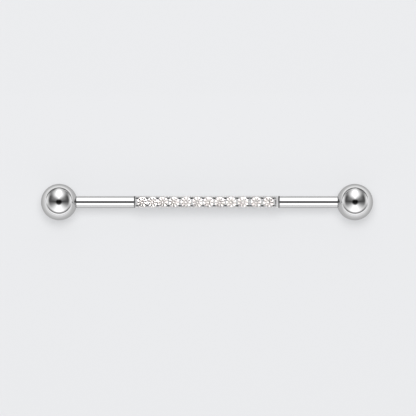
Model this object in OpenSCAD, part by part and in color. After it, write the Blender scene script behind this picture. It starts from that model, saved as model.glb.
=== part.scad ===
// Straight barbell worn through two piercings of one ear, with a screwed ball at each end
// and a row of round clear stones, held by small beads of metal, in a rail along its middle.
// The bar lies along X, its stones face +Z, and its two balls stand on z = 0.

/* [Bar] */
// Thickness of the round bar, 14 gauge
bar_d = 1.6; // [1.6:0.1:2]
// Length of the bar that shows between the two balls
wear_length = 36; // [32:0.5:45]

/* [Balls] */
// Diameter of each ball
ball_d = 5; // [5:0.5:8]
// Outer diameter of the screwed post at each end of the bar
post_d = 1.2; // [1:0.05:1.3]
// Length of the post past the bar's shoulder
post_length = 2.6; // [2:0.1:2.8]
// How far the bar's shoulder sinks into the ball
seat_depth = 0.15; // [0.1:0.05:0.3]
// Gap all round between a ball and what enters it
ball_gap = 0.03; // [0.02:0.01:0.06]

/* [Stone rail] */
// Length of the rail that holds the stones
rail_length = 20; // [20:0.5:24]
// Height of the rail's top above the bar's axis
rail_rise = 0.95; // [0.9:0.05:1.1]
// How far the rail's sides and underside stand out from the bar
rail_lip = 0.02; // [0.01:0.01:0.05]
// Radius of the rail's two lower edges
rail_edge_r = 0.35; // [0.25:0.05:0.5]
// Bevel across each end of the rail's top
rail_bevel = 0.17; // [0.12:0.01:0.2]
// Thickness of the rail's two side walls
rail_wall = 0.12; // [0.1:0.01:0.13]
// Depth of the channel between the side walls
channel_depth = 0.15; // [0.1:0.01:0.2]
// Flat land between the channel and the rail's left end
left_land = 0.35; // [0.25:0.05:0.4]
// Flat land between the channel and the rail's right end
right_land = 0.55; // [0.25:0.05:0.6]

/* [Stones] */
// Diameter of each round stone
stone_d = 1.35; // [1.2:0.01:1.37]
// Width of a stone's flat table, as a share of its diameter
table_share = 0.57; // [0.5:0.01:0.62]
// Height of a stone's crown, as a share of its diameter
crown_share = 0.15; // [0.12:0.01:0.17]
// Thickness of a stone's girdle, as a share of its diameter
girdle_share = 0.03; // [0.02:0.01:0.05]
// Depth of a stone's pavilion, as a share of its diameter
pavilion_share = 0.43; // [0.4:0.01:0.45]
// Gap all round between a stone and the metal
stone_gap = 0.02; // [0.01:0.005:0.03]

/* [Beads] */
// Diameter of each bead of metal that holds a stone
bead_d = 0.44; // [0.43:0.01:0.46]
// Height of a bead above the channel's floor
bead_height = 0.28; // [0.24:0.01:0.32]
// Distance of a bead from its stone's centre, along the bar
bead_x = 0.69; // [0.66:0.01:0.7]
// Distance of a bead from its stone's centre, across the bar
bead_y = 0.51; // [0.5:0.01:0.53]

/* [Hidden] */
$fn = 96;

// One row for each stone, from the left end of the bar.
// The first column is the distance from the stone before it, or from the bar's middle for
// the first one, and the second is the stone's turn about its own axis in degrees.
STEP = 0;
TURN = 1;
STONES = [
    [-8.90, 6],
    [1.40, 31],
    [1.40, 14],
    [1.55, 40],
    [1.65, 22],
    [1.60, 3],
    [1.50, 36],
    [1.55, 11],
    [1.55, 27],
    [1.65, 43],
    [1.80, 18],
    [1.70, 33]
];
STONE_NODES = [for (i = [0 : len(STONES) - 1]) str("stone_", i < 9 ? "0" : "", i + 1)];

// Cutting tools run past the surfaces that they cut by this much.
past = 0.5;

bar_r = bar_d / 2;
ball_r = ball_d / 2;
post_r = post_d / 2;
axis_z = ball_r;

// A ball's seat is a little wider than the bar, and its rim is where the bar starts to show.
seat_r = bar_r + ball_gap;
ball_x = wear_length / 2 + sqrt(pow(ball_r, 2) - pow(seat_r, 2));
shoulder_x = wear_length / 2 + seat_depth;
post_end_x = shoulder_x + post_length;
post_tip = 0.1;
seat_floor_gap = 0.02;
bore_end_gap = 0.1;
rod_start_x = rail_length / 2 - rail_bevel;

channel_floor = rail_rise - channel_depth;
rail_half_w = bar_r + rail_lip;
channel_w = 2 * (rail_half_w - rail_wall);

stone_r = stone_d / 2;
table_r = stone_r * table_share;
crown_h = stone_d * crown_share;
girdle_h = stone_d * girdle_share;
pavilion_h = stone_d * pavilion_share;
girdle_z = channel_floor + stone_gap;

bead_r = bead_d / 2;
bead_dome_r = 1.15 * bead_r;
// Beads of neighbouring stones nearer than this are one bead between the two stones.
bead_merge = 0.1;

// Facets: a ring of eight round the table, and the girdle's corners between and at them.
FACETS = 8;
facet_angle = 360 / FACETS;
star_r = (table_r * cos(facet_angle / 2) + stone_r) / 2;
lower_r = 0.22 * stone_r;

function stone_x(i) = STONES[i][STEP] + (i == 0 ? 0 : stone_x(i - 1));
function ring_point(r, angle, z) = [r * cos(angle), r * sin(angle), z];

// Lays an outline drawn in the YZ plane along the bar, centred on its middle.
module along_bar(length) {
    rotate([90, 0, 90]) linear_extrude(length, center = true) children();
}

// Turns an outline about the bar's axis, with its height drawn along +X.
module turned_on_bar() {
    rotate([0, 90, 0]) rotate_extrude() children();
}

// The round bar from inside the rail out to its shoulder, and the post past it.
module rod_and_post() {
    turned_on_bar() polygon([
        [0, rod_start_x],
        [bar_r, rod_start_x],
        [bar_r, shoulder_x],
        [post_r, shoulder_x],
        [post_r, post_end_x - post_tip],
        [post_r - post_tip, post_end_x],
        [0, post_end_x]
    ]);
}

// Straight sides and a flat underside, with the two lower edges rounded.
module rail_section() {
    flat_half_w = rail_half_w - rail_edge_r;
    edge_y = -rail_half_w + rail_edge_r;
    translate([-rail_half_w, edge_y]) square([2 * rail_half_w, rail_rise - edge_y]);
    translate([-flat_half_w, -rail_half_w]) square([2 * flat_half_w, rail_half_w]);
    for (side = [-1, 1]) translate([side * flat_half_w, edge_y]) circle(rail_edge_r);
}

module rail_side() {
    half = rail_length / 2;
    polygon([
        [-half, -rail_half_w - past],
        [half, -rail_half_w - past],
        [half, rail_rise - rail_bevel],
        [half - rail_bevel, rail_rise],
        [-half + rail_bevel, rail_rise],
        [-half, rail_rise - rail_bevel]
    ]);
}

module channel() {
    left = -rail_length / 2 + left_land;
    right = rail_length / 2 - right_land;
    translate([left, -channel_w / 2, channel_floor])
        cube([right - left, channel_w, channel_depth + past]);
}

module rail() {
    difference() {
        intersection() {
            along_bar(rail_length + 2 * past) rail_section();
            rotate([90, 0, 0])
                linear_extrude(bar_d + 2 * past, center = true)
                rail_side();
        }
        channel();
    }
}

// A short post with a domed top that stands on the channel's floor.
module bead(x, y) {
    translate([x, y, channel_floor - past / 2]) intersection() {
        cylinder(r = bead_r, h = bead_height + past);
        translate([0, 0, bead_height + past / 2 - bead_dome_r]) sphere(bead_dome_r);
    }
}

module bead_pair(x) {
    for (side = [-1, 1]) bead(x, side * bead_y);
}

// Four beads hold each stone, and close neighbours share the two between them.
module beads() {
    last = len(STONES) - 1;
    bead_pair(stone_x(0) - bead_x);
    bead_pair(stone_x(last) + bead_x);
    for (i = [0 : last - 1]) {
        from = stone_x(i) + bead_x;
        to = stone_x(i + 1) - bead_x;
        if (to - from < bead_merge) {
            bead_pair((from + to) / 2);
        } else {
            bead_pair(from);
            bead_pair(to);
        }
    }
}

// A round form that clears a stone by the gap on every face, measured square to the face.
module stone_clearance() {
    crown_slope = crown_h / (stone_r - table_r);
    pavilion_slope = pavilion_h / stone_r;
    crown_lift = stone_gap * sqrt(1 + pow(crown_slope, 2));
    pavilion_drop = stone_gap * sqrt(1 + pow(pavilion_slope, 2));
    edge_r = stone_r + stone_gap;
    top = girdle_h + crown_h + stone_gap;
    rotate_extrude() polygon([
        [0, -pavilion_h - pavilion_drop],
        [edge_r, -pavilion_drop + stone_gap * pavilion_slope],
        [edge_r, girdle_h + crown_lift - stone_gap * crown_slope],
        [table_r + (crown_lift - stone_gap) / crown_slope, top],
        [0, top]
    ]);
}

module bar() {
    color("silver") translate([0, 0, axis_z]) difference() {
        union() {
            rail();
            rod_and_post();
            mirror([1, 0, 0]) rod_and_post();
            beads();
        }
        for (i = [0 : len(STONES) - 1])
            translate([stone_x(i), 0, girdle_z]) stone_clearance();
    }
}

// Half of a ball's section, with the bar's seat and the bore for its post cut out of it.
module ball_section() {
    bore_end_x = post_end_x + bore_end_gap;
    difference() {
        intersection() {
            translate([0, ball_x]) circle(ball_r);
            translate([0, ball_x - ball_d]) square([ball_d, 2 * ball_d]);
        }
        translate([-past, 0]) square([past + post_r + ball_gap, bore_end_x]);
        translate([-past, 0]) square([past + seat_r, shoulder_x + seat_floor_gap]);
    }
}

// The right ball, turned in one piece about the bar's axis.
module ball() {
    translate([0, 0, axis_z]) turned_on_bar() ball_section();
}

module ball_right() {
    color("silver") ball();
}

module ball_left() {
    color("silver") mirror([1, 0, 0]) ball();
}

// Points of a cut stone, in rings from the table down to the culet.
// Each ring of eight starts at 0 degrees or half a facet on, and the girdle's two rings
// have sixteen corners each.
function stone_points() =
    let (
        half = facet_angle / 2,
        table_z = girdle_h + crown_h,
        star_z = table_z - crown_h * (star_r * cos(half) - table_r) / (stone_r - table_r),
        lower_z = -pavilion_h * (1 - lower_r * cos(half) / stone_r)
    )
    concat(
        [for (k = [0 : FACETS - 1]) ring_point(table_r, k * facet_angle, table_z)],
        [for (k = [0 : FACETS - 1]) ring_point(star_r, (k + 0.5) * facet_angle, star_z)],
        [for (k = [0 : 2 * FACETS - 1]) ring_point(stone_r, k * half, girdle_h)],
        [for (k = [0 : 2 * FACETS - 1]) ring_point(stone_r, k * half, 0)],
        [for (k = [0 : FACETS - 1]) ring_point(lower_r, (k + 0.5) * facet_angle, lower_z)],
        [[0, 0, -pavilion_h]]
    );

function table_at(k) = k % FACETS;
function star_at(k) = FACETS + (k + FACETS) % FACETS;
function upper_at(k) = 2 * FACETS + k % (2 * FACETS);
function girdle_at(k) = 4 * FACETS + k % (2 * FACETS);
function lower_at(k) = 6 * FACETS + (k + FACETS) % FACETS;
function culet() = 7 * FACETS;

// Every face lists its corners clockwise as seen from outside.
function stone_faces() = concat(
    [[for (k = [FACETS - 1 : -1 : 0]) table_at(k)]],
    [for (k = [0 : FACETS - 1]) [table_at(k), table_at(k + 1), star_at(k)]],
    [for (k = [0 : FACETS - 1]) [table_at(k), star_at(k), upper_at(2 * k), star_at(k - 1)]],
    [for (k = [0 : FACETS - 1]) [star_at(k), upper_at(2 * k + 1), upper_at(2 * k)]],
    [for (k = [0 : FACETS - 1]) [star_at(k), upper_at(2 * k + 2), upper_at(2 * k + 1)]],
    [for (k = [0 : 2 * FACETS - 1])
        [upper_at(k), upper_at(k + 1), girdle_at(k + 1), girdle_at(k)]],
    [for (k = [0 : FACETS - 1]) [lower_at(k), girdle_at(2 * k), girdle_at(2 * k + 1)]],
    [for (k = [0 : FACETS - 1]) [lower_at(k), girdle_at(2 * k + 1), girdle_at(2 * k + 2)]],
    [for (k = [0 : FACETS - 1]) [culet(), lower_at(k - 1), girdle_at(2 * k), lower_at(k)]]
);

// One round brilliant, by its place in the row.
module stone(i) {
    color("white", 0.6)
        translate([stone_x(i), 0, axis_z + girdle_z])
            rotate([0, 0, STONES[i][TURN]])
                polyhedron(stone_points(), stone_faces());
}

bar();
ball_left();
ball_right();
for (i = [0 : len(STONES) - 1])
    stone(i);
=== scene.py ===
"""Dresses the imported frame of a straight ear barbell.

The frame gives every place and most sizes. This file turns the bar and its two screwed balls
in fine metal, cuts the beaded rail, gives the stones their glass, and sets up a small studio.
"""

import math
from types import SimpleNamespace

import bmesh
import bpy
from bpy.props import FloatProperty, FloatVectorProperty, PointerProperty
from mathutils import Matrix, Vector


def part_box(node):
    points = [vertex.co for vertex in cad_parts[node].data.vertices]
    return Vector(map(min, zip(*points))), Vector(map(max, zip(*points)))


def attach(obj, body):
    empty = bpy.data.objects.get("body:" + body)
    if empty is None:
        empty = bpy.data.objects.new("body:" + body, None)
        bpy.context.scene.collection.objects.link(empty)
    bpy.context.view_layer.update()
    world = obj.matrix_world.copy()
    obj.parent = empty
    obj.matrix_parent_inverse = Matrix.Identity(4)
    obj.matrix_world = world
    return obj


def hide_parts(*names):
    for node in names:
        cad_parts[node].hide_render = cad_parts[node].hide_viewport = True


bl_info = {
    "name": "Ear barbell",
    "version": (1, 0, 0),
    "blender": (4, 5, 0),
    "location": "3D View > Sidebar > Barbell",
    "description": "Builds the metal, the stones and the studio of a straight ear barbell",
    "category": "Add Mesh",
}

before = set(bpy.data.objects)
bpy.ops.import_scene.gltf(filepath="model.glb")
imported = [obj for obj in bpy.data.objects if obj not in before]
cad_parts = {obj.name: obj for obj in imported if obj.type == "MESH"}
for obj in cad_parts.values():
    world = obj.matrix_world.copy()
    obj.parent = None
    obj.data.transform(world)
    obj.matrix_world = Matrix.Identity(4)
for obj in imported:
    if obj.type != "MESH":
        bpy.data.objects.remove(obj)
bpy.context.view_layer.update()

BAR_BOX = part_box("bar")
BALL_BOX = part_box("ball_right")
STONE_NODES = sorted(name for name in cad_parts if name.startswith("stone_"))
BALL_D = 2 * round((BALL_BOX[0].z + BALL_BOX[1].z) / 2, 4)
AXIS_HEIGHT = BALL_D / 2
BALL_X = BALL_BOX[1].x - AXIS_HEIGHT

MM_PER_M = 1000
# Points nearer than this are merged.
WELD_MM = 1e-5
# How far a face's middle may lie from a level, and how squarely the face must look along an axis.
LEVEL_MM = 10 * WELD_MM
SQUARE_ON = 0.99
# Edges sharper than this, in degrees, stay sharp in the shading.
SHARP_ANGLE = 28
# Steps round the bar's axis, and along each kind of curve.
RING_STEPS = 128
BALL_STEPS = 96
ROUNDING_STEPS = 4
LOWER_EDGE_STEPS = 10
UPPER_EDGE_STEPS = 3
SEAT_STEPS = 64
BEAD_RING_STEPS = 32
BEAD_STEPS = 8
# 2 would make a bead's top a plain dome; more makes its middle flatter and its rim rounder.
BEAD_POWER = 3
# How much wider a shared pair of beads is, as a share of the gap between the two places.
SHARED_WIDENING = 0.25
# One turn of a screw thread: how far round it each edge lies, and the share of the depth there.
THREAD_FORM = ((0.0, 0.0), (0.25, 0.0), (0.5625, 1.0), (0.6875, 1.0))
# Bevel at the end of a post, and how far past that end the faces of a ball's bore may lie.
POST_TIP_MM = 0.06
BORE_MARGIN_MM = 0.2

# Finishes of the metal. Each row is its name, the properties of SteelLook for its colour and its
# roughness, its metallic value, its marks per mm, its smudge and the marks' depth in metres.
FINISHES = (
    ("bright_steel", "steel", "polish", 1.0, 14.0, 0.12, 2e-8),
    ("satin_steel", "steel", "satin", 0.88, 30.0, 0.2, 2e-6),
    ("turned_steel", "steel", "turned", 1.0, 60.0, 0.2, 1e-6),
    # Painted shade: this row is near-black steel at the joints, standing in for the shade where the
    # bar meets a ball and the rail.
    ("joint_shade_steel", "joint_shade", "dull", 1.0, 30.0, 0.2, 1e-6),
    ("worn_steel", "steel", "worn", 1.0, 30.0, 0.2, 2e-6),
)
BAR_FINISHES = tuple(row[0] for row in FINISHES)
BALL_FINISHES = ("bright_steel", "turned_steel")
# How much of the metal's shine is left where it is seen almost edge on.
EDGE_TINT = (0.75, 0.75, 0.75, 1.0)
# Buffing marks are fine along the bar and drawn out round it.
MARK_STRETCH = (1.0, 0.12, 0.12)
SMUDGES_PER_MM = 0.9
SMUDGE_LEVEL = 0.45
NOISE_DETAIL = 3.0

FLOOR_ROUGHNESS = 0.9
FLOOR_SHINE = 0.1
# Colour of the studio where the camera looks past the floor.
PAPER_COLOUR = (0.85, 0.86, 0.875, 1)
# Height of the cards over the floor, and each card's low and high corners, in metres.
CARD_LIFT = 5e-5
PAPER_UNDER = ((-0.06, -0.04), (0.06, 0.015))
DARK_STRIP = ((-0.1, 0.015), (0.1, 0.035))
WHITE_CARD = ((-0.4, 0.035), (0.4, 0.6))
DARK_STRIP_LIGHT = 0.15
# Degrees that the ramps of light cover: from straight up, and round from the far side.
HEIGHT_SPAN = 110
TURN_SPAN = 180


def number(name, description, default, **options):
    return FloatProperty(name=name, description=description, default=default, **options)


def length(name, description, default):
    return number(name, description, default, min=0, precision=6, unit="LENGTH")


def place(name, description, default):
    return number(name, description, default, precision=6, unit="LENGTH")


def share(name, description, default):
    return number(name, description, default, min=0, max=1, subtype="FACTOR")


def tint(name, description, default):
    return FloatVectorProperty(
        name=name, description=description, default=default, size=4, min=0, max=1, subtype="COLOR"
    )


class BarSizes(bpy.types.PropertyGroup):
    """The round bar, its screwed posts and the rail for the stones."""

    bar_d: length("Bar thickness", "Thickness of the round bar", 0.0016)
    wear_length: length("Wear length", "Length of bar between the two balls", 0.036)
    seat_depth: length("Seat depth", "How far the shoulder sinks into a ball", 0.00015)
    post_d: length("Post thickness", "Outer diameter of the screwed posts", 0.0012)
    thread_depth: length("Thread depth", "Height of the thread on a post", 0.00015)
    thread_pitch: length("Thread pitch", "Distance between two turns of thread", 0.00025)
    thread_run_out: length("Thread run-out", "Length in which the thread fades out", 0.0002)
    edge_round: length("Shoulder rounding", "Rounding of the bar's shoulders", 0.00003)
    neck_length: length("Neck length", "Length of the thinner neck before a ball", 0.00003)
    neck_depth: length("Neck depth", "How much lower the neck lies than the bar", 0.0001)
    rail_length: length("Rail length", "Length of the rail that holds the stones", 0.020)
    rail_rise: length("Rail rise", "Height of the rail's top above the bar's axis", 0.00095)
    rail_edge_r: length("Lower edge radius", "Radius of the rail's two lower edges", 0.00035)
    rail_top_r: length("Upper edge radius", "Radius of the rail's two upper edges", 0.00003)
    left_bevel: length("Left bevel", "Length of the bevel at the rail's left end", 0.00015)
    left_drop: length("Left drop", "Height of the bevel at the rail's left end", 0.00009)
    # The band of painted shade at the rail's left end.
    shade_band_width: length("Joint width", "Width of the dull joint at the rail's left end", 0.00005)
    right_bevel: length("Right bevel", "Length of the bevel at the rail's right end", 0.00021)
    right_drop: length("Right drop", "Height of the bevel at the rail's right end", 0.00012)
    rail_wall: length("Wall", "Thickness of the rail's two side walls", 0.00012)
    channel_depth: length("Channel depth", "Depth of the channel for the stones", 0.00015)
    left_land: length("Left land", "Flat land at the rail's left end", 0.00035)
    right_land: length("Right land", "Flat land at the rail's right end", 0.00055)
    step_bevel: length("Step bevel", "Length of the bevel where the right land drops", 0.00012)
    step_drop: length("Step drop", "Height of the bevel where the right land drops", 0.00007)


class BeadSizes(bpy.types.PropertyGroup):
    """The small beads of metal that hold the stones."""

    bead_d: length("Bead thickness", "Diameter of each bead", 0.00044)
    bead_height: length("Bead height", "Height of a bead above the channel's floor", 0.00028)
    bead_x: length("Bead place along", "Distance of a bead from its stone, along the bar", 0.00069)
    bead_y: length("Bead place across", "Distance of a bead from the stones' line", 0.00051)
    bead_dome: share("Bead dome", "Height of a bead's rounded top, of its radius", 0.4)
    bead_merge: length("Bead merge", "Beads nearer than this are one bead", 0.00035)
    stone_gap: length("Stone gap", "Gap between a stone and the metal", 0.00002)
    crown_share: share("Crown", "Height of a stone's crown, of its width", 0.15)
    girdle_share: share("Girdle", "Thickness of a stone's girdle, of its width", 0.03)
    pavilion_share: share("Pavilion", "Depth of a stone's lower part, of its width", 0.43)
    table_share: share("Table", "Width of a stone's flat top, of its width", 0.57)


class BallSizes(bpy.types.PropertyGroup):
    """The two screwed balls."""

    ball_d: length("Ball diameter", "Diameter of each ball", BALL_D)
    ball_gap: length("Ball gap", "Gap between a ball and what enters it", 0.00003)
    rim_round: length("Rim rounding", "Rounding of the seat's rim", 0.0001)
    seat_floor_gap: length("Seat floor gap", "Gap under the bar's shoulder", 0.00002)
    bore_end_gap: length("Bore end gap", "Gap past the end of the post", 0.0001)
    groove_depth: length("Groove depth", "Depth of the thread cut in the bore", 0.00009)


class SteelLook(bpy.types.PropertyGroup):
    """Colour and polish of the metal, and the painted shade of its joints."""

    steel: tint("Steel", "Colour of the polished steel", (0.83, 0.83, 0.835, 1.0))
    # Painted shade: near-black steel in the neck before each ball and at the rail's left end, where
    # the parts shade each other.
    joint_shade: tint("Joint", "Colour of the dull joints beside balls and rail", (0.1, 0.1, 0.1, 1.0))
    polish: share("Polish", "Roughness of the polished steel", 0.04)
    satin: share("Satin", "Roughness of the rail's top, between the stones", 0.55)
    turned: share("Turned", "Roughness of the threads", 0.22)
    # Roughness of the painted shade at the joints.
    dull: share("Dull", "Roughness of the dull joints", 0.5)
    worn: share("Worn", "Roughness of the tops of the rail's two walls", 0.37)


class StoneLook(bpy.types.PropertyGroup):
    """Colour and glass of the stones."""

    glass: tint("Stone", "Colour of the clear stones", (1.0, 0.945, 0.92, 1.0))
    ior: number("Bending of light", "Index of refraction", 2.15)


class StudioLook(bpy.types.PropertyGroup):
    """The floor, the light and the camera."""

    floor: tint("Floor", "Colour of the floor", (0.14, 0.1412, 0.144, 1.0))
    floor_glow: number("Floor glow", "Light through the floor from below", 3.45)
    floor_size: length("Floor size", "Width of the floor", 4.0)
    view_width: length("View width", "Width of the picture at the barbell's axis", 0.05728)
    view_x: place("View right", "Middle of the picture along the bar", 0.000138)
    view_y: place("View up", "Middle of the picture across the bar", -0.000817)
    lamp_distance: length("Lamp distance", "Distance of the soft lamp", 0.5)
    lamp_size: length("Lamp size", "Width of the soft lamp", 0.32)
    lamp_power: number("Lamp power", "Power of the soft lamp in watts", 5.2)
    lamp_lean: number(
        "Lamp lean", "Angle of the lamp from straight up", math.radians(11.5), subtype="ANGLE"
    )
    camera_distance: length("Camera distance", "Height of the camera over the axis", 0.6)
    sensor: number("Sensor", "Width of the sensor in millimetres", 36)


def in_mm(group):
    """The group's lengths in millimetres and its other numbers as they are, by name."""
    values = {}
    for prop in group.bl_rna.properties:
        if prop.type == "FLOAT" and not prop.is_array:
            value = getattr(group, prop.identifier)
            values[prop.identifier] = value * MM_PER_M if prop.unit == "LENGTH" else value
    return SimpleNamespace(**values)


def mesh_object(name, bm):
    """A new object from bm, in whatever unit bm is drawn in."""
    bmesh.ops.recalc_face_normals(bm, faces=bm.faces)
    mesh = bpy.data.meshes.new(name)
    bm.to_mesh(mesh)
    bm.free()
    made = bpy.data.objects.new(name, mesh)
    bpy.context.scene.collection.objects.link(made)
    return made


def ring(along, radius):
    return [(along, radius)] * (RING_STEPS + 1)


def arc(centre, radius, start, end, steps):
    """Points on an arc between two angles in degrees."""
    angles = [math.radians(start + (end - start) * k / steps) for k in range(steps + 1)]
    return [(centre[0] + radius * math.cos(a), centre[1] + radius * math.sin(a)) for a in angles]


def thread_rings(start, end, plain, crest, pitch, run_out):
    """Rings of a screw thread between two places on the axis, from the plain radius to crest."""
    rings = []
    for turn in range(math.ceil((end - start) / pitch) + 2):
        for phase, depth in THREAD_FORM:
            rows = []
            for step in range(RING_STEPS + 1):
                along = start + (turn - 1 + phase + step / RING_STEPS) * pitch
                along = min(max(along, start), end)
                fade = min(1.0, (along - start) / run_out, (end - along) / run_out)
                rows.append((along, plain + (crest - plain) * depth * fade))
            rings.append(rows)
    return rings


def skin(bm, grid, steps):
    """Faces between neighbouring rings of the grid. What lies together is merged."""
    for near, far in zip(grid, grid[1:]):
        for k in range(steps):
            bm.faces.new((near[k], near[k + 1], far[k + 1], far[k]))
    bmesh.ops.remove_doubles(bm, verts=bm.verts, dist=WELD_MM)
    bmesh.ops.dissolve_degenerate(bm, edges=bm.edges, dist=WELD_MM)


def turned_solid(name, rings, mirrored=False):
    """A closed solid turned about X. Each ring is (place along X, radius) step by step."""
    bm = bmesh.new()
    side = -1 if mirrored else 1
    grid = []
    for rows in rings:
        verts = []
        for step, (along, radius) in enumerate(rows):
            turn = 2 * math.pi * (step % RING_STEPS) / RING_STEPS
            point = (side * along, radius * math.cos(turn), side * radius * math.sin(turn))
            verts.append(bm.verts.new(point))
        grid.append(verts)
    skin(bm, grid, RING_STEPS)
    return mesh_object(name, bm)


def lathe_upright(name, outline, steps, middle):
    """A closed solid turned about an upright line through middle.

    The outline's points are (radius, height).
    """
    bm = bmesh.new()
    grid = []
    for radius, height in outline:
        verts = []
        for step in range(steps + 1):
            turn = 2 * math.pi * (step % steps) / steps
            verts.append(bm.verts.new((radius * math.cos(turn), radius * math.sin(turn), height)))
        grid.append(verts)
    skin(bm, grid, steps)
    bmesh.ops.translate(bm, verts=bm.verts, vec=middle)
    return mesh_object(name, bm)


def combine(base, operation, others):
    """Joins the others to base or cuts them out of it, and removes them."""
    operands = bpy.data.collections.new("operands")
    bpy.context.scene.collection.children.link(operands)
    for other in others:
        operands.objects.link(other)
    modifier = base.modifiers.new(operation.lower(), "BOOLEAN")
    modifier.operation = operation
    modifier.operand_type = "COLLECTION"
    modifier.collection = operands
    modifier.solver = "EXACT"
    graph = bpy.context.evaluated_depsgraph_get()
    result = bpy.data.meshes.new_from_object(base.evaluated_get(graph))
    base.modifiers.clear()
    old = base.data
    base.data = result
    bpy.data.meshes.remove(old)
    for other in others:
        bpy.data.objects.remove(other)
    bpy.data.collections.remove(operands)


def stone_places():
    """Each stone's place along the bar, in millimetres, from the left."""
    middles = []
    for name in STONE_NODES:
        low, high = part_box(name)
        middles.append((low.x + high.x) / 2 * MM_PER_M)
    return sorted(middles)


def stone_width():
    low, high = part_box(STONE_NODES[0])
    return (high.x - low.x) * MM_PER_M


def rail_outline(bar):
    """The rail's section across the bar, as (across, up) from the bar's axis."""
    half = BAR_BOX[1].y * MM_PER_M
    low = half - bar.rail_edge_r
    top = bar.rail_rise - bar.rail_top_r
    out = half - bar.rail_top_r
    return (
        arc((-low, -low), bar.rail_edge_r, 180, 270, LOWER_EDGE_STEPS)
        + arc((low, -low), bar.rail_edge_r, 270, 360, LOWER_EDGE_STEPS)
        + arc((out, top), bar.rail_top_r, 0, 90, UPPER_EDGE_STEPS)
        + arc((-out, top), bar.rail_top_r, 90, 180, UPPER_EDGE_STEPS)
    )


def rail_body(bar):
    """The rail before its channel is cut: one section along X, bevelled on top at each end."""
    half = bar.rail_length / 2
    outline = rail_outline(bar)
    stations = (
        (-half, bar.left_drop),
        (-half + bar.left_bevel, 0),
        (half - bar.right_bevel, 0),
        (half, bar.right_drop),
    )
    bm = bmesh.new()
    grid = []
    for along, drop in stations:
        verts = []
        for across, up in outline:
            is_top = up > bar.rail_rise - 2 * bar.rail_top_r
            verts.append(bm.verts.new((along, across, up - drop if is_top else up)))
        grid.append(verts)
    for near, far in zip(grid, grid[1:]):
        for k in range(len(near)):
            after = (k + 1) % len(near)
            bm.faces.new((near[k], near[after], far[after], far[k]))
    bm.faces.new(grid[0])
    bm.faces.new(reversed(grid[-1]))
    return mesh_object("rail", bm)


def channel_cutter(bar):
    """The room of the channel, with a bevel up to the land at its right end."""
    start = -bar.rail_length / 2 + bar.left_land
    end = bar.rail_length / 2 - bar.right_land
    side = BAR_BOX[1].y * MM_PER_M - bar.rail_wall
    low = bar.rail_rise - bar.channel_depth
    high = bar.rail_rise + bar.channel_depth
    outline = (
        (start, low),
        (end - bar.step_bevel / 2, low),
        (end - bar.step_bevel / 2, bar.rail_rise - bar.step_drop),
        (end + bar.step_bevel / 2, bar.rail_rise),
        (end + bar.step_bevel / 2, high),
        (start, high),
    )
    bm = bmesh.new()
    near = [bm.verts.new((along, -side, up)) for along, up in outline]
    far = [bm.verts.new((along, side, up)) for along, up in outline]
    bm.faces.new(near)
    bm.faces.new(reversed(far))
    for k in range(len(outline)):
        after = (k + 1) % len(outline)
        bm.faces.new((near[after], near[k], far[k], far[after]))
    return mesh_object("channel", bm)


def seat_cutter(along, floor, beads):
    """The room of one stone: its own round form, grown by the gap."""
    width = stone_width()
    radius = width / 2
    table = radius * beads.table_share
    crown = width * beads.crown_share
    girdle = width * beads.girdle_share
    pavilion = width * beads.pavilion_share
    crown_slope = crown / (radius - table)
    pavilion_slope = pavilion / radius
    crown_lift = beads.stone_gap * math.hypot(1, crown_slope)
    pavilion_drop = beads.stone_gap * math.hypot(1, pavilion_slope)
    edge = radius + beads.stone_gap
    top = girdle + crown + beads.stone_gap
    outline = [
        (0, -pavilion - pavilion_drop),
        (edge, -pavilion_drop + beads.stone_gap * pavilion_slope),
        (edge, girdle + crown_lift - beads.stone_gap * crown_slope),
        (table + (crown_lift - beads.stone_gap) / crown_slope, top),
        (0, top),
    ]
    return lathe_upright("seat", outline, SEAT_STEPS, (along, 0, floor + beads.stone_gap))


def bead_solid(along, across, width, floor, beads):
    """One bead: a round stem that stands in the rail, with a rounded top."""
    radius = width / 2
    dome = radius * beads.bead_dome
    outline = [(0, -radius), (radius, -radius)]
    for step in range(BEAD_STEPS + 1):
        out = math.cos(math.pi / 2 * step / BEAD_STEPS) ** (2 / BEAD_POWER)
        up = (1 - out**BEAD_POWER) ** (1 / BEAD_POWER)
        outline.append((radius * out, beads.bead_height + dome * (up - 1)))
    return lathe_upright("bead", outline, BEAD_RING_STEPS, (along, across, floor))


def bead_places(stones, beads):
    """Each pair of beads as (place along the bar, width): close neighbours share a wider pair."""
    places = [(stones[0] - beads.bead_x, beads.bead_d), (stones[-1] + beads.bead_x, beads.bead_d)]
    for left, right in zip(stones, stones[1:]):
        start = left + beads.bead_x
        end = right - beads.bead_x
        if end - start < beads.bead_merge:
            width = beads.bead_d + max(end - start, 0) * SHARED_WIDENING
            places.append(((start + end) / 2, width))
        else:
            places += [(start, beads.bead_d), (end, beads.bead_d)]
    return places


def shoulder_place(bar):
    """How far the bar's shoulders lie from its middle."""
    return bar.wear_length / 2 + bar.seat_depth


def rod_and_post(bar, mirrored):
    """Half of the round bar, from inside the rail to its shoulder, and the screwed post."""
    bar_r = bar.bar_d / 2
    shoulder = shoulder_place(bar)
    post_end = BAR_BOX[1].x * MM_PER_M
    root = bar.post_d / 2 - bar.thread_depth
    start = bar.rail_length / 2 - bar.right_bevel
    neck_r = bar_r - bar.neck_depth
    neck = bar.wear_length / 2 - bar.neck_length
    corner = (shoulder - bar.edge_round, neck_r - bar.edge_round)
    rounding = arc(corner, bar.edge_round, 90, 0, ROUNDING_STEPS)
    rings = [ring(start, 0), ring(start, bar_r)]
    # Where the painted shade at the rail's left end stops.
    rings.append(ring(bar.rail_length / 2 + bar.shade_band_width, bar_r))
    rings += [ring(neck, bar_r), ring(neck + bar.neck_depth, neck_r)]
    rings += [ring(along, radius) for along, radius in rounding]
    thread_end = post_end - POST_TIP_MM
    rings += thread_rings(
        shoulder, thread_end, root, bar.post_d / 2, bar.thread_pitch, bar.thread_run_out
    )
    rings += [ring(thread_end, root), ring(post_end, root - POST_TIP_MM), ring(post_end, 0)]
    return turned_solid("rod", rings, mirrored)


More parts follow.
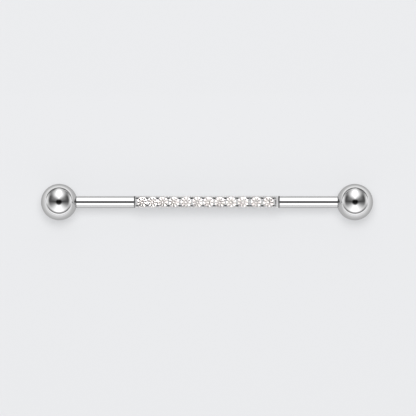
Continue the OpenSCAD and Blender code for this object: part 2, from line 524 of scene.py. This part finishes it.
def settle(made):
    """Brings a piece drawn in millimetres about the bar's axis to its place in metres."""
    made.data.transform(Matrix.Translation((0, 0, AXIS_HEIGHT)) @ Matrix.Scale(1 / MM_PER_M, 4))
    made.data.shade_smooth()
    made.data.set_sharp_from_angle(angle=math.radians(SHARP_ANGLE))


def is_setting(face, bar):
    """Whether a face belongs to the flat top, the channel or the seats of the rail."""
    middle = face.center
    half = bar.rail_length / 2
    inside = -half + bar.left_bevel < middle.x < half - bar.right_bevel
    flat_top = abs(middle.z - bar.rail_rise) < LEVEL_MM and face.normal.z > SQUARE_ON
    channel_side = BAR_BOX[1].y * MM_PER_M - bar.rail_wall
    in_channel = abs(middle.y) < channel_side + WELD_MM
    floor_level = bar.rail_rise - bar.channel_depth
    floor = abs(middle.z - floor_level) < LEVEL_MM and face.normal.z > SQUARE_ON
    wall = middle.z > floor_level and abs(face.normal.y) > SQUARE_ON
    return inside and (flat_top or in_channel and (floor or wall))


def is_wall_top(face, bar):
    """Whether a face is part of the top of one of the two walls beside the channel."""
    middle = face.center
    start = -bar.rail_length / 2 + bar.left_land
    end = bar.rail_length / 2 - bar.right_land
    inner = BAR_BOX[1].y * MM_PER_M - bar.rail_wall
    beside = start < middle.x < end and abs(middle.y) > inner
    return beside and abs(middle.z - bar.rail_rise) < LEVEL_MM and face.normal.z > SQUARE_ON


def paint_bar(made, bar):
    """Gives each bar face its finish or painted shade. What rises over the rail's top is a bead."""
    neck = bar.wear_length / 2 - bar.neck_length
    rail_end = -bar.rail_length / 2
    for face in made.data.polygons:
        along = face.center.x
        if abs(along) > shoulder_place(bar) + WELD_MM:
            finish = "turned_steel"
        # Painted shade: near-black steel in each neck and a thin band at the rail's left end, where
        # the parts meet.
        elif abs(along) > neck:
            finish = "joint_shade_steel"
        elif rail_end - bar.shade_band_width < along < rail_end - WELD_MM:
            finish = "joint_shade_steel"
        elif is_wall_top(face, bar):
            finish = "worn_steel"
        elif is_setting(face, bar):
            finish = "satin_steel"
        elif face.center.z > bar.rail_rise + WELD_MM and abs(along) < bar.rail_length / 2:
            finish = "turned_steel"
        else:
            finish = "bright_steel"
        face.material_index = BAR_FINISHES.index(finish)


def make_threaded_bar(bar, beads):
    """The bar: rail, two rods with screwed posts and the beads, as one piece of metal."""
    floor = bar.rail_rise - bar.channel_depth
    stones = stone_places()
    made = rail_body(bar)
    made.name = "threaded_bar"
    combine(made, "DIFFERENCE", [channel_cutter(bar)])
    added = [rod_and_post(bar, mirrored) for mirrored in (False, True)]
    for along, width in bead_places(stones, beads):
        for side in (-1, 1):
            added.append(bead_solid(along, side * beads.bead_y, width, floor, beads))
    combine(made, "UNION", added)
    combine(made, "DIFFERENCE", [seat_cutter(along, floor, beads) for along in stones])
    return made


def make_ball(name, bar, balls, mirrored):
    """One screwed ball: the sphere, the rounded rim of its seat, and its threaded bore."""
    radius = balls.ball_d / 2
    bore_r = bar.post_d / 2 + balls.ball_gap
    seat_r = bar.bar_d / 2 + balls.ball_gap
    centre = BALL_BOX[1].x * MM_PER_M - radius
    shoulder = shoulder_place(bar)
    bore_start = shoulder + balls.seat_floor_gap
    bore_end = BAR_BOX[1].x * MM_PER_M + balls.bore_end_gap
    rim_r = seat_r + balls.rim_round
    rim_angle = 180 - math.degrees(math.asin(rim_r / radius))
    rim_x = centre - math.sqrt(radius**2 - rim_r**2)
    sphere = arc((centre, 0), radius, 0, rim_angle, BALL_STEPS)
    rim = arc((rim_x + balls.rim_round, rim_r), balls.rim_round, 180, 270, ROUNDING_STEPS)
    rings = [ring(along, off_axis) for along, off_axis in sphere + rim[1:]]
    rings.append(ring(bore_start, seat_r))
    groove_r = bore_r + balls.groove_depth
    rings += thread_rings(
        bore_start, bore_end, bore_r, groove_r, bar.thread_pitch, bar.thread_run_out
    )
    rings += [ring(bore_end, bore_r), ring(bore_end, 0)]
    return turned_solid(name, rings, mirrored)


def paint_ball(made, bar, balls):
    """Gives a ball's bore the finish of the threads, and the rest of it the polish."""
    bore_r = bar.post_d / 2 + balls.ball_gap + balls.groove_depth
    bore_end = BAR_BOX[1].x * MM_PER_M + BORE_MARGIN_MM
    for face in made.data.polygons:
        off_axis = math.hypot(face.center.y, face.center.z)
        inner = off_axis < bore_r + WELD_MM and shoulder_place(bar) < abs(face.center.x) < bore_end
        finish = "turned_steel" if inner else "bright_steel"
        face.material_index = BALL_FINISHES.index(finish)


def add_node(tree, kind, inputs=None, **options):
    """A new node with its options set. inputs maps each socket to a value or to what feeds it."""
    made = tree.nodes.new(kind)
    for option, value in options.items():
        setattr(made, option, value)
    for socket, value in (inputs or {}).items():
        if isinstance(value, bpy.types.NodeSocket):
            tree.links.new(value, made.inputs[socket])
        else:
            made.inputs[socket].default_value = value
    return made


def calculate(tree, operation, *values):
    """A math node on the values, and its result's socket."""
    return add_node(tree, "ShaderNodeMath", dict(enumerate(values)), operation=operation).outputs[0]


def ramp(tree, value, span, stops):
    """A grey ramp over a value from 0 to span. Each stop is (value, grey)."""
    made = add_node(tree, "ShaderNodeValToRGB", {0: calculate(tree, "DIVIDE", value, span)})
    elements = made.color_ramp.elements
    while len(elements) < len(stops):
        elements.new(0.5)
    for element, (stop, grey) in zip(elements, stops):
        element.position = stop / span
        element.color = (grey, grey, grey, 1)
    return made.outputs[0]


def new_material(name):
    """A new material, its node tree and its shader."""
    made = bpy.data.materials.new(name)
    made.use_nodes = True
    return made, made.node_tree, made.node_tree.nodes["Principled BSDF"]


def group_with(name, inputs, outputs):
    """An empty node group with float inputs (name, default) and float outputs (name)."""
    group = bpy.data.node_groups.new(name, "ShaderNodeTree")
    for socket, default in inputs:
        made = group.interface.new_socket(socket, in_out="INPUT", socket_type="NodeSocketFloat")
        made.default_value = default
    for socket in outputs:
        group.interface.new_socket(socket, in_out="OUTPUT", socket_type="NodeSocketFloat")
    return group, group.nodes.new("NodeGroupInput"), group.nodes.new("NodeGroupOutput")


def buffing_group():
    """Faint marks of the buffing wheel, which run round the bar, and smudges in the polish."""
    name = "Buffing marks"
    if name in bpy.data.node_groups:
        return bpy.data.node_groups[name]
    inputs = (("Marks per mm", 14.0), ("Plain roughness", 0.05), ("Smudge", 0.03))
    group, given, result = group_with(name, inputs, ("Roughness", "Height"))
    spot = group.nodes.new("ShaderNodeTexCoord").outputs["Object"]
    in_millimetres = add_node(
        group, "ShaderNodeVectorMath", {0: spot, "Scale": float(MM_PER_M)}, operation="SCALE"
    ).outputs[0]
    lines = add_node(
        group, "ShaderNodeVectorMath", {0: in_millimetres, 1: MARK_STRETCH}, operation="MULTIPLY"
    ).outputs[0]
    marks = add_node(
        group,
        "ShaderNodeTexNoise",
        {"Vector": lines, "Scale": given.outputs["Marks per mm"], "Detail": NOISE_DETAIL},
    ).outputs[0]
    smudges = add_node(
        group,
        "ShaderNodeTexNoise",
        {"Vector": in_millimetres, "Scale": SMUDGES_PER_MM, "Detail": NOISE_DETAIL},
    ).outputs[0]
    over = calculate(group, "SUBTRACT", smudges, SMUDGE_LEVEL)
    over = calculate(group, "MAXIMUM", over, 0.0)
    more = calculate(group, "MULTIPLY", over, given.outputs["Smudge"])
    rough = calculate(group, "ADD", more, given.outputs["Plain roughness"])
    group.links.new(rough, result.inputs["Roughness"])
    group.links.new(marks, result.inputs["Height"])
    return group


def steel_material(name, colour, roughness, metallic, marks_per_mm, smudge, depth):
    """Steel with buffing marks: depth is the marks' depth in metres."""
    made, tree, shader = new_material(name)
    shader.inputs["Base Color"].default_value = colour
    shader.inputs["Metallic"].default_value = metallic
    shader.inputs["Specular Tint"].default_value = EDGE_TINT
    marks = tree.nodes.new("ShaderNodeGroup")
    marks.node_tree = buffing_group()
    marks.inputs["Marks per mm"].default_value = marks_per_mm
    marks.inputs["Plain roughness"].default_value = roughness
    marks.inputs["Smudge"].default_value = smudge
    tree.links.new(marks.outputs["Roughness"], shader.inputs["Roughness"])
    bump = add_node(tree, "ShaderNodeBump", {"Distance": depth, "Height": marks.outputs["Height"]})
    tree.links.new(bump.outputs[0], shader.inputs["Normal"])
    return made


def glass_material(look):
    """Clear cut stone: a bright glass with a faint warm tint."""
    made, _, shader = new_material("clear_stone")
    shader.inputs["Base Color"].default_value = look.glass
    shader.inputs["Roughness"].default_value = 0.0
    shader.inputs["IOR"].default_value = look.ior
    shader.inputs["Transmission Weight"].default_value = 1.0
    return made


def floor_material(look):
    """Pale paper that is lit through from below."""
    made, _, shader = new_material("floor")
    shader.inputs["Base Color"].default_value = look.floor
    shader.inputs["Roughness"].default_value = FLOOR_ROUGHNESS
    shader.inputs["Specular IOR Level"].default_value = FLOOR_SHINE
    shader.inputs["Emission Color"].default_value = look.floor
    shader.inputs["Emission Strength"].default_value = look.floor_glow
    return made


# Soft boxes of the studio. Each row is its name, its strength, whether its heights are measured
# in the leaning frame, its light by degrees from straight up, and its light by degrees round
# from the far side, which is 0, to the near side, 180.
SOFT_BOXES = (
    (
        "far window",
        2.6,
        False,
        (
            (0, 0.35), (16, 0.38), (23, 0.36), (29, 0.5), (40, 0.8), (50, 1),
            (60, 0.92), (67, 0.77), (75, 0.6), (83, 0.43), (92, 0.27),
        ),
        ((0, 1), (10, 0.8), (20, 0.46), (27, 0.36), (36, 0.21), (45, 0.08), (54, 0.015), (65, 0)),
    ),
    (
        "near card",
        1.25,
        True,
        ((0, 1), (73, 1), (78, 0.8), (82.5, 0.3), (86, 0.04), (91.5, 0.04), (92.5, 0)),
        ((88, 0), (105, 0.15), (120, 0.36), (135, 0.63), (150, 0.85), (160, 1), (180, 1)),
    ),
    (
        "side light",
        1.0,
        True,
        ((60, 0), (65, 0.1), (70, 0.5), (80, 0.95), (91, 0.95)),
        ((40, 0), (55, 0.5), (70, 0.9), (90, 0.85), (105, 0.42), (120, 0.2), (135, 0.08)),
    ),
    (
        "paper sweep",
        0.9,
        True,
        ((91.5, 0), (92.5, 1), (110, 1)),
        ((60, 0), (85, 0.5), (105, 0.55), (120, 0.8), (140, 1), (180, 1)),
    ),
    (
        "ceiling glow",
        0.14,
        False,
        ((0, 0.3), (16, 0.6), (25, 1), (42, 1), (60, 0.1), (65, 0)),
        ((0, 1), (60, 1), (75, 0.3), (85, 0)),
    ),
    ("dim room", 0.085, False, ((0, 1), (90, 1)), ((0, 1), (180, 1))),
)
# No part of the studio is brighter than this.
BRIGHTEST = 1.4
# Light of the paper as the metal sees it, by millimetres from the barbell, on its two sides.
PAPER_SPAN = 40
PAPER_NEAR = ((0, 0.55), (6, 0.56), (8.5, 0.62), (14, 0.7), (25, 0.85), (40, 0.85))
PAPER_FAR = ((0, 0.56), (4.5, 0.57), (6.5, 0.67), (9, 0.92), (40, 0.92))
# Light of the white card by degrees to the side of straight behind a ball.
WHITE_SPAN = 90
WHITE_BY_TURN = ((0, 0.95), (8, 0.95), (15, 0.45), (22, 0.16), (42, 0.16), (58, 0.6), (90, 0.6))
# Light as the metal sees it, by degrees from straight up: the camera keeps light off from above.
CAMERA_SHADE = ((0, 0.01), (9, 0.02), (13.5, 0.05), (17.5, 0.35), (21, 0.8), (24, 1), (90, 1))
# The leaning frame's own straight up: the studio's paper leans toward the far side.
LEANING_UP = (0.0, 0.208, 0.978)
# What the cut stones see: patches of light about 1 over PATCHES wide on a sphere of radius 1.
# The dimmest has PATCH_DIM of light, and the power makes the bright ones few.
PATCHES = 2.5
PATCH_DIM = 0.45
PATCH_LIGHT = 6.6
PATCH_POWER = 2.5
# The same for the light that the cut stones see.
STONE_SHADE = ((0, 0.02), (18, 0.05), (24, 0.6), (28, 1), (90, 1))


def studio_light():
    """Light from all round, drawn by direction. The camera itself sees only pale paper."""
    world = bpy.data.worlds.new("studio")
    bpy.context.scene.world = world
    world.use_nodes = True
    tree = world.node_tree
    tree.nodes.clear()
    direction = tree.nodes.new("ShaderNodeTexCoord").outputs["Generated"]
    split = add_node(tree, "ShaderNodeSeparateXYZ", {0: direction})
    from_top = calculate(tree, "DEGREES", calculate(tree, "ARCCOSINE", split.outputs["Z"]))
    lean = add_node(
        tree, "ShaderNodeVectorMath", {0: direction, 1: LEANING_UP}, operation="DOT_PRODUCT"
    ).outputs["Value"]
    from_lean = calculate(tree, "DEGREES", calculate(tree, "ARCCOSINE", lean))
    sideways = calculate(tree, "ABSOLUTE", split.outputs["X"])
    round_from_far = calculate(
        tree, "DEGREES", calculate(tree, "ARCTAN2", sideways, split.outputs["Y"])
    )
    light = None
    for _, strength, leans, by_height, by_turn in SOFT_BOXES:
        height = ramp(tree, from_lean if leans else from_top, HEIGHT_SPAN, by_height)
        turn = ramp(tree, round_from_far, TURN_SPAN, by_turn)
        box = calculate(tree, "MULTIPLY", calculate(tree, "MULTIPLY", height, turn), strength)
        light = calculate(tree, "ADD", light, box) if light else box
    light = calculate(tree, "MINIMUM", light, BRIGHTEST)
    light = calculate(tree, "MULTIPLY", light, ramp(tree, from_top, HEIGHT_SPAN, CAMERA_SHADE))
    cells = add_node(tree, "ShaderNodeTexVoronoi", {"Vector": direction, "Scale": PATCHES})
    patch = add_node(tree, "ShaderNodeSeparateColor", {0: cells.outputs["Color"]}).outputs[0]
    patch = calculate(tree, "MULTIPLY", calculate(tree, "POWER", patch, PATCH_POWER), PATCH_LIGHT)
    patch = calculate(tree, "ADD", patch, PATCH_DIM)
    patch = calculate(tree, "MULTIPLY", patch, ramp(tree, from_top, HEIGHT_SPAN, STONE_SHADE))
    path = tree.nodes.new("ShaderNodeLightPath")
    through = path.outputs["Is Transmission Ray"]
    light = add_node(
        tree, "ShaderNodeMix", {0: through, 2: light, 3: patch}, data_type="FLOAT"
    ).outputs[0]
    lit = add_node(tree, "ShaderNodeBackground", {"Color": light})
    paper = add_node(tree, "ShaderNodeBackground", {"Color": PAPER_COLOUR})
    seen = path.outputs["Is Camera Ray"]
    mix = add_node(tree, "ShaderNodeMixShader", {0: seen, 1: lit.outputs[0], 2: paper.outputs[0]})
    add_node(tree, "ShaderNodeOutputWorld", {"Surface": mix.outputs[0]})


def make_floor(look):
    """The ground that the barbell lies on."""
    bm = bmesh.new()
    bmesh.ops.create_grid(bm, x_segments=1, y_segments=1, size=look.floor_size / 2)
    made = mesh_object("floor", bm)
    made.data.materials.append(floor_material(look))


def make_lamp(look):
    """A broad lamp high on the far side, which throws the near shadow. No reflection shows it."""
    data = bpy.data.lights.new("soft lamp", "AREA")
    data.shape = "DISK"
    data.size = look.lamp_size
    data.energy = look.lamp_power
    made = bpy.data.objects.new("soft lamp", data)
    bpy.context.scene.collection.objects.link(made)
    lean = look.lamp_lean
    made.rotation_euler = (-lean, 0, 0)
    reach = look.lamp_distance
    made.location = (0, reach * math.sin(lean), reach * math.cos(lean))
    made.visible_glossy = False
    made.visible_transmission = False
    made.visible_camera = False


def glowing_material(name):
    """A material that only glows, its tree, and the socket for its light."""
    made = bpy.data.materials.new(name)
    made.use_nodes = True
    tree = made.node_tree
    tree.nodes.clear()
    glow = tree.nodes.new("ShaderNodeEmission")
    add_node(tree, "ShaderNodeOutputMaterial", {"Surface": glow.outputs[0]})
    return made, tree, glow.inputs["Color"]


def lay_card(name, low, high, material):
    """A card that lies on the floor and shows only as a reflection. low and high are x and y."""
    bm = bmesh.new()
    corners = ((low[0], low[1]), (high[0], low[1]), (high[0], high[1]), (low[0], high[1]))
    bm.faces.new([bm.verts.new((x, y, CARD_LIFT)) for x, y in corners])
    made = mesh_object(name, bm)
    made.data.materials.append(material)
    made.visible_camera = False
    made.visible_diffuse = False
    made.visible_transmission = False
    made.visible_shadow = False


def place_on_card(tree):
    """Distance along the bar past a ball's middle, below 0 between the balls, and across it."""
    spot = tree.nodes.new("ShaderNodeTexCoord").outputs["Object"]
    split = add_node(tree, "ShaderNodeSeparateXYZ", {0: spot})
    along = calculate(tree, "ABSOLUTE", split.outputs["X"])
    return calculate(tree, "SUBTRACT", along, BALL_X), split.outputs["Y"]


def make_dark_strip():
    """A dim strip between the paper and the white card."""
    material, _, light = glowing_material("dark strip")
    light.default_value = (DARK_STRIP_LIGHT, DARK_STRIP_LIGHT, DARK_STRIP_LIGHT, 1)
    lay_card("dark strip", *DARK_STRIP, material)


def make_paper_under():
    """The paper as the metal sees it: dimmer near the barbell, which keeps light off it."""
    material, tree, light = glowing_material("paper under")
    past_ball, across = place_on_card(tree)
    past = calculate(tree, "MAXIMUM", past_ball, 0.0)
    squares = calculate(tree, "MULTIPLY", past, past)
    squares = calculate(tree, "ADD", squares, calculate(tree, "MULTIPLY", across, across))
    away = calculate(tree, "SQRT", squares)
    away_mm = calculate(tree, "MULTIPLY", away, MM_PER_M)
    near_side = ramp(tree, away_mm, PAPER_SPAN, PAPER_NEAR)
    far_side = ramp(tree, away_mm, PAPER_SPAN, PAPER_FAR)
    facing = calculate(tree, "MAXIMUM", calculate(tree, "DIVIDE", across, away), 0.0)
    mixed = add_node(
        tree, "ShaderNodeMix", {0: facing, 2: near_side, 3: far_side}, data_type="FLOAT"
    )
    tree.links.new(mixed.outputs[0], light)
    lay_card("paper under", *PAPER_UNDER, material)


def make_white_card():
    """A card far behind the barbell, brightest straight behind each of the two balls."""
    material, tree, light = glowing_material("white card")
    past_ball, across = place_on_card(tree)
    beside = calculate(tree, "ABSOLUTE", past_ball)
    turn = calculate(tree, "DEGREES", calculate(tree, "ARCTAN2", beside, across))
    tree.links.new(ramp(tree, turn, WHITE_SPAN, WHITE_BY_TURN), light)
    lay_card("white card", *WHITE_CARD, material)


def make_cards():
    """Cards that show only in the metal: they edge the balls' highlights."""
    make_paper_under()
    make_dark_strip()
    make_white_card()


def make_camera(look):
    """The camera, straight above and looking down, so that view_width fills the picture."""
    data = bpy.data.cameras.new("camera")
    made = bpy.data.objects.new("camera", data)
    bpy.context.scene.collection.objects.link(made)
    data.sensor_width = look.sensor
    data.lens = look.sensor * look.camera_distance / look.view_width
    made.location = (look.view_x, look.view_y, AXIS_HEIGHT + look.camera_distance)
    bpy.context.scene.camera = made


def adopt(made, body, node, materials):
    """Makes a piece ride on its body in place of its frame node, in these materials."""
    for material in materials:
        made.data.materials.append(material)
    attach(made, body)
    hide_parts(node)


def steel_finishes(look):
    """The metal's finishes by name. Each is made once."""
    for name, colour, roughness, *marks in FINISHES:
        if name not in bpy.data.materials:
            steel_material(name, getattr(look, colour), getattr(look, roughness), *marks)
    return {name: bpy.data.materials[name] for name in BAR_FINISHES}


class BARBELL_OT_studio(bpy.types.Operator):
    """Sets up the pale floor, the soft light and the camera"""

    bl_idname = "barbell.studio"
    bl_label = "Studio"

    def execute(self, context):
        look = context.scene.barbell_studio
        make_floor(look)
        make_cards()
        make_lamp(look)
        studio_light()
        make_camera(look)
        context.scene.view_settings.view_transform = "Standard"
        return {"FINISHED"}


class BARBELL_OT_bar(bpy.types.Operator):
    """Builds the bar with its beaded rail and screwed posts"""

    bl_idname = "barbell.bar"
    bl_label = "Bar"

    def execute(self, context):
        bar = in_mm(context.scene.barbell_bar)
        beads = in_mm(context.scene.barbell_beads)
        finishes = steel_finishes(context.scene.barbell_steel)
        made = make_threaded_bar(bar, beads)
        paint_bar(made, bar)
        settle(made)
        metals = [finishes[name] for name in BAR_FINISHES]
        adopt(made, "bar", "bar", metals)
        return {"FINISHED"}


class BARBELL_OT_balls(bpy.types.Operator):
    """Turns the two screwed balls"""

    bl_idname = "barbell.balls"
    bl_label = "Balls"

    def execute(self, context):
        bar = in_mm(context.scene.barbell_bar)
        balls = in_mm(context.scene.barbell_balls)
        finishes = steel_finishes(context.scene.barbell_steel)
        metals = [finishes[name] for name in BALL_FINISHES]
        for side, mirrored in (("left", True), ("right", False)):
            made = make_ball(f"screwed_ball_{side}", bar, balls, mirrored)
            paint_ball(made, bar, balls)
            settle(made)
            adopt(made, f"ball_{side}", f"ball_{side}", metals)
        return {"FINISHED"}


class BARBELL_OT_stones(bpy.types.Operator):
    """Gives the twelve cut stones their glass"""

    bl_idname = "barbell.stones"
    bl_label = "Stones"

    def execute(self, context):
        glass = glass_material(context.scene.barbell_stones)
        for name in STONE_NODES:
            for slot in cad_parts[name].material_slots:
                slot.material = glass
        return {"FINISHED"}


class BARBELL_PT_panel(bpy.types.Panel):
    """Lists the pieces of the barbell and their sizes"""

    bl_idname = "BARBELL_PT_panel"
    bl_label = "Ear barbell"
    bl_space_type = "VIEW_3D"
    bl_region_type = "UI"
    bl_category = "Barbell"

    def draw(self, context):
        for operator in OPERATORS:
            self.layout.operator(operator.bl_idname)
        for name in GROUPS:
            group = getattr(context.scene, name)
            column = self.layout.column(heading=name)
            for prop in group.__annotations__:
                column.prop(group, prop)


GROUPS = {
    "barbell_bar": BarSizes,
    "barbell_beads": BeadSizes,
    "barbell_balls": BallSizes,
    "barbell_steel": SteelLook,
    "barbell_stones": StoneLook,
    "barbell_studio": StudioLook,
}
OPERATORS = (BARBELL_OT_studio, BARBELL_OT_bar, BARBELL_OT_balls, BARBELL_OT_stones)


def register():
    for name, group in GROUPS.items():
        bpy.utils.register_class(group)
        setattr(bpy.types.Scene, name, PointerProperty(type=group))
    for made in (*OPERATORS, BARBELL_PT_panel):
        bpy.utils.register_class(made)


def unregister():
    for made in (BARBELL_PT_panel, *reversed(OPERATORS)):
        bpy.utils.unregister_class(made)
    for name, group in reversed(GROUPS.items()):
        delattr(bpy.types.Scene, name)
        bpy.utils.unregister_class(group)


def main():
    register()
    bpy.ops.barbell.studio()
    bpy.ops.barbell.bar()
    bpy.ops.barbell.balls()
    bpy.ops.barbell.stones()


if __name__ == "__main__":
    main()
